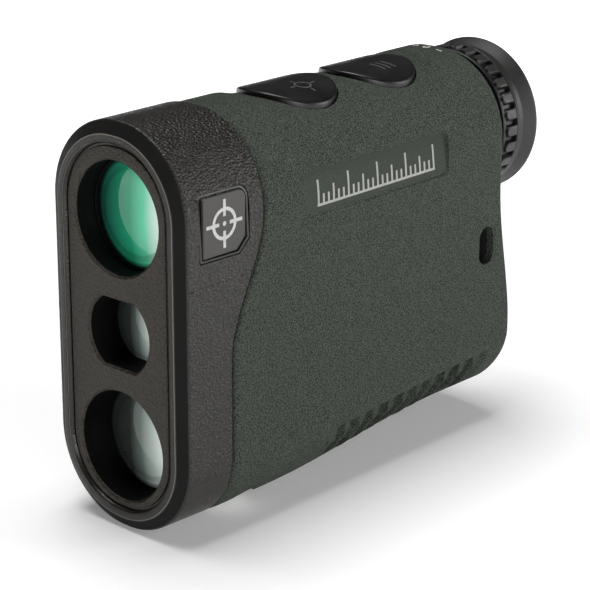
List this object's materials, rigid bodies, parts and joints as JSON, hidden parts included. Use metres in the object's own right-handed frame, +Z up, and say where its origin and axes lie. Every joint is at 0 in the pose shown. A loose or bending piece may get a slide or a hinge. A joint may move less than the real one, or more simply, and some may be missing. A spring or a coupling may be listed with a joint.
{
  "type": "laser rangefinder",
  "caption": "Upright handheld laser rangefinder with stacked front apertures, rubber armour, top buttons, a focusing eyepiece and a screw-in battery cap.",
  "frame": {"origin": "centre of the underside of the bounding box, standing upright", "axes": "+Y along the optical axis towards the eyepiece, +Z up towards the buttons, +X to the side with the lanyard slot nearest the camera"},
  "size_m": [0.0348, 0.1008, 0.075],
  "materials": {
    "armour_rubber": "matte dark green-grey rubber with a fine grain",
    "bezel_polymer": "black polymer with a fine leather-like grain",
    "front_plate_polymer": "matt warm black polymer",
    "badge_polymer": "satin grey with a light printed mark",
    "chassis_polymer": "black glass-filled polymer",
    "button_rubber": "smooth black rubber with a soft shine",
    "eyecup_rubber": "smooth black rubber",
    "seal_rubber": "black seal rubber",
    "label_foil": "blank satin silver label",
    "anodised_aluminium": "black anodised aluminium",
    "coated_glass": "optical glass with a green coating",
    "clear_glass": "optical glass",
    "steel": "plain steel",
    "contact_brass": "gold-plated contact metal",
    "circuit_board": "green glass-epoxy board",
    "component_black": "black moulded component",
    "flex_film": "amber flexible film",
    "cell_sleeve": "plain blue printed sleeve"
  },
  "bodies": {
    "root": {"badge_left": "badge_polymer", "badge_right": "badge_polymer", "battery": "cell_sleeve", "battery_tube": "chassis_polymer", "bezel_gasket": "seal_rubber", "chassis_left": "chassis_polymer", "chassis_right": "chassis_polymer", "emitter_lens": "clear_glass", "emitter_tube": "anodised_aluminium", "eyepiece_housing": "chassis_polymer", "flex_cable": "flex_film", "front_bezel": "bezel_polymer", "front_plate": "front_plate_polymer", "front_prism": "clear_glass", "housing_screw_1": "steel", "housing_screw_2": "steel", "housing_screw_3": "steel", "housing_screw_4": "steel", "label_plate": "label_foil", "lanyard_sleeve": "chassis_polymer", "laser_capacitor": "component_black", "laser_diode": "contact_brass", "main_board": "circuit_board", "measure_button_seal": "seal_rubber", "measure_dome_switch": "steel", "menu_button_seal": "seal_rubber", "menu_dome_switch": "steel", "objective_cell": "anodised_aluminium", "objective_lens": "coated_glass", "objective_oring": "seal_rubber", "objective_retainer": "anodised_aluminium", "photodiode": "contact_brass", "positive_contact": "contact_brass", "prism_tray": "anodised_aluminium", "processor_chip": "component_black", "receiver_board": "circuit_board", "receiver_lens": "clear_glass", "receiver_tube": "anodised_aluminium", "reticle_display": "component_black", "roof_prism": "clear_glass", "rubber_armour": "armour_rubber", "shield_can": "steel", "switch_board": "circuit_board"},
    "measure_button": {"measure_button": "button_rubber"},
    "menu_button": {"menu_button": "button_rubber"},
    "focus_ring": {"dioptre_ring": "bezel_polymer", "eyecup": "eyecup_rubber"},
    "ocular": {"ocular_barrel": "anodised_aluminium", "field_lens": "clear_glass", "lens_spacer": "anodised_aluminium", "eye_lens": "coated_glass", "ocular_retainer": "anodised_aluminium"},
    "battery_cap": {"battery_cap": "bezel_polymer", "battery_cap_oring": "seal_rubber", "battery_spring": "steel"}
  },
  "joints": [
    {"name": "measure_press", "type": "slide", "parent": "root", "child": "measure_button", "axis": [0, 0, -1], "range_m": [0, 0.0006], "stiffness_N_per_m": 3000},
    {"name": "menu_press", "type": "slide", "parent": "root", "child": "menu_button", "axis": [0, 0, -1], "range_m": [0, 0.0006], "stiffness_N_per_m": 3000},
    {"name": "dioptre_turn", "type": "hinge", "parent": "root", "child": "focus_ring", "pos_m": [0, 0.0406, 0.0584], "axis": [0, 1, 0], "range_deg": [-90.01, 90.01]},
    {"name": "ocular_focus", "type": "slide", "parent": "root", "child": "ocular", "axis": [0, 1, 0], "range_m": [-0.001, 0.001]},
    {"name": "cap_turn", "type": "hinge", "parent": "root", "child": "battery_cap", "pos_m": [0, 0.0393, 0.018], "axis": [0, 1, 0], "range_deg": [0, 90]}
  ],
  "couplings": [
    {"joint": "dioptre_turn", "follows": "ocular_focus", "rad_per_m": 1570.8}
  ]
}
